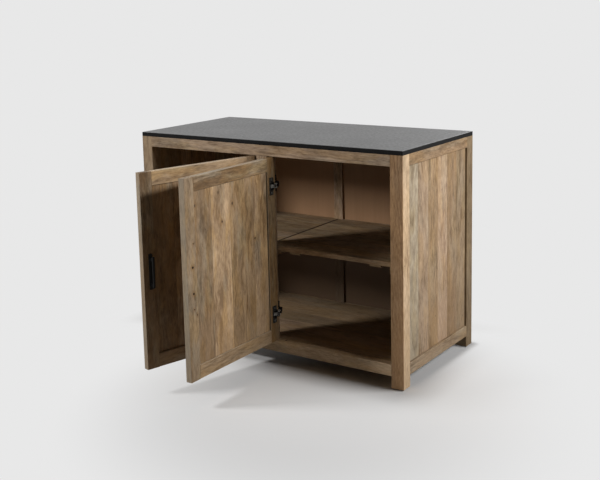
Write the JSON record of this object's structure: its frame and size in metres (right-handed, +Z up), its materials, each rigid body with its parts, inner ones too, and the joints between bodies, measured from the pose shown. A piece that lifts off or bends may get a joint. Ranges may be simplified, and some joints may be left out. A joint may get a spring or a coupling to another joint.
{
  "type": "corner kitchen cabinet",
  "caption": "Blind-corner kitchen base cabinet: weathered timber frame and planks, dark stone worktop, frame-and-panel doors hung on the centre post, and a shelf inside.",
  "frame": {"origin": "on the floor, under the middle of the carcass footprint", "axes": "+X to the right along the front as the user faces it, +Y from the front to the back, +Z up; the doors open towards -Y"},
  "size_m": [1.25, 1.1285, 0.9],
  "materials": {
    "timber": "weathered solid hardwood planks, brushed and waxed, with knots and filled checks",
    "plywood": "thin brown-faced board, satin",
    "stone": "honed black stone with fine pale flecks",
    "black_iron": "blackened iron, waxed",
    "dark_steel": "dark plated steel",
    "bright_steel": "nickel-plated steel",
    "glide_plastic": "black moulded plastic"
  },
  "bodies": {
    "carcass": {"post_front_left": "timber", "post_front_right": "timber", "post_back_left": "timber", "post_back_right": "timber", "post_centre": "timber", "back_stile": "timber", "rail_front_top": "timber", "rail_front_bottom": "timber", "rail_back_top": "timber", "rail_back_bottom": "timber", "rail_side_top_left": "timber", "rail_side_top_right": "timber", "rail_side_bottom_left": "timber", "rail_side_bottom_right": "timber", "side_panel_left": "timber", "side_panel_right": "timber", "floor_boards": "timber", "floor_cleats": "timber", "floor_bearer": "timber", "top_bearer": "timber", "shelf_bearer": "timber", "shelf_battens": "timber", "corner_blocks": "timber", "shelf_left": "timber", "shelf_right": "timber", "shelf_cleat_left": "timber", "shelf_cleat_right": "timber", "back_panel_left": "plywood", "back_panel_right": "plywood", "worktop": "stone", "hinge_plates_left": "dark_steel", "hinge_plates_right": "dark_steel", "hinge_arms_left": "dark_steel", "hinge_arms_right": "dark_steel", "hinge_plate_screws_left": "bright_steel", "hinge_plate_screws_right": "bright_steel", "cleat_screws": "bright_steel", "foot_glides": "glide_plastic"},
    "left_door": {"door_hinge_stile_left": "timber", "door_handle_stile_left": "timber", "door_top_rail_left": "timber", "door_bottom_rail_left": "timber", "door_panel_left": "timber", "handle_left": "black_iron", "handle_bolts_left": "dark_steel", "hinge_cups_left": "bright_steel", "hinge_cup_screws_left": "bright_steel"},
    "left_hinge_links": {"hinge_links_left": "bright_steel"},
    "right_door": {"door_hinge_stile_right": "timber", "door_handle_stile_right": "timber", "door_top_rail_right": "timber", "door_bottom_rail_right": "timber", "door_panel_right": "timber", "handle_right": "black_iron", "handle_bolts_right": "dark_steel", "hinge_cups_right": "bright_steel", "hinge_cup_screws_right": "bright_steel"},
    "right_hinge_links": {"hinge_links_right": "bright_steel"}
  },
  "joints": [
    {"name": "left_door_hinge", "type": "hinge", "parent": "carcass", "child": "left_door", "pos_m": [-0.036, -0.294, 0.467], "axis": [0, 0, 1], "range_deg": [-75, 15]},
    {"name": "left_link_turn", "type": "hinge", "parent": "carcass", "child": "left_hinge_links", "pos_m": [-0.036, -0.294, 0.467], "axis": [0, 0, 1], "range_deg": [-30, 6]},
    {"name": "right_door_hinge", "type": "hinge", "parent": "carcass", "child": "right_door", "pos_m": [0.036, -0.294, 0.467], "axis": [0, 0, -1], "range_deg": [-90, 0]},
    {"name": "right_link_turn", "type": "hinge", "parent": "carcass", "child": "right_hinge_links", "pos_m": [0.036, -0.294, 0.467], "axis": [0, 0, -1], "range_deg": [-36, 0]}
  ],
  "couplings": [
    {"joint": "left_link_turn", "follows": "left_door_hinge", "ratio": 0.4},
    {"joint": "right_link_turn", "follows": "right_door_hinge", "ratio": 0.4}
  ]
}
